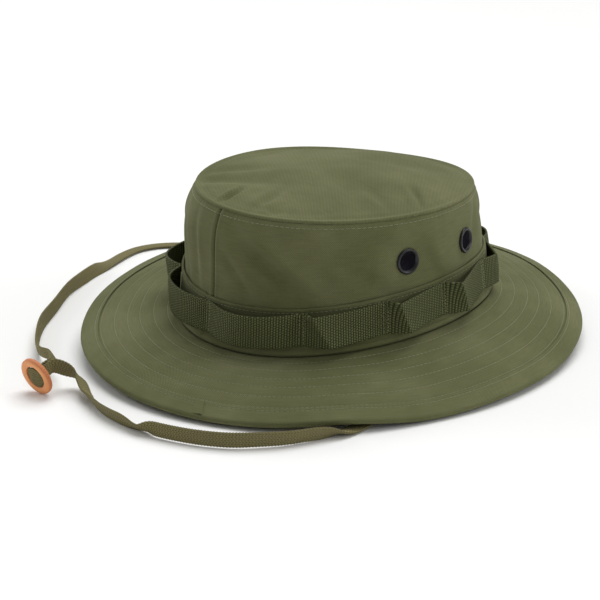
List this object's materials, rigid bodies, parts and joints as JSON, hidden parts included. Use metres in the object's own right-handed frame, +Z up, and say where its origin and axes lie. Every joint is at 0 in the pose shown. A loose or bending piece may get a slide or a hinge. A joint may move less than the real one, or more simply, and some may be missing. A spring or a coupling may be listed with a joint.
{
  "type": "boonie hat",
  "caption": "Soft wide-brimmed field hat with a stitched brim, webbing foliage loops, screened side vents and a braided chin strap with a slider.",
  "frame": {"origin": "on the surface that the hat stands on, under the middle of the brim", "axes": "+Z up; the front of the hat at -Y, its back at +Y; the wearer's right at -X"},
  "size_m": [0.3622, 0.3581, 0.1067],
  "materials": {
    "cotton_cloth": "matt twill-woven cotton",
    "sweatband_cloth": "matt cotton tape",
    "interlining_cloth": "stiff plain-woven cloth",
    "label_cloth": "smooth blank woven tape",
    "webbing": "coarse ribbed webbing",
    "braided_strap": "flat braid",
    "black_metal": "black enamelled metal",
    "vent_screen_mesh": "fine dark wire mesh",
    "slider_leather": "orange-tan leather with cut edges"
  },
  "bodies": {
    "hat": {"crown_tip": "cotton_cloth", "side_panel_right": "cotton_cloth", "side_panel_left": "cotton_cloth", "hat_band": "cotton_cloth", "sweatband": "sweatband_cloth", "size_label": "label_cloth", "brim_lower_ply": "cotton_cloth", "brim_interlining": "interlining_cloth", "brim_upper_ply": "cotton_cloth", "brim_binding": "cotton_cloth", "foliage_loop_01": "webbing", "foliage_loop_02": "webbing", "foliage_loop_03": "webbing", "foliage_loop_04": "webbing", "foliage_loop_05": "webbing", "foliage_loop_06": "webbing", "foliage_loop_07": "webbing", "foliage_loop_08": "webbing", "foliage_loop_09": "webbing", "foliage_loop_10": "webbing", "foliage_loop_11": "webbing", "foliage_loop_12": "webbing", "vent_flange_1": "black_metal", "vent_washer_1": "black_metal", "vent_screen_1": "vent_screen_mesh", "vent_flange_2": "black_metal", "vent_washer_2": "black_metal", "vent_screen_2": "vent_screen_mesh", "vent_flange_3": "black_metal", "vent_washer_3": "black_metal", "vent_screen_3": "vent_screen_mesh", "vent_flange_4": "black_metal", "vent_washer_4": "black_metal", "vent_screen_4": "vent_screen_mesh", "chin_strap_left": "braided_strap", "chin_strap_right": "braided_strap", "chin_strap_bight": "braided_strap"},
    "slider": {"strap_slider": "slider_leather"}
  },
  "joints": [
    {"name": "slider_slide", "type": "slide", "parent": "hat", "child": "slider", "axis": [0.1198, -0.9583, 0.2595], "range_m": [0, 0.008]}
  ]
}
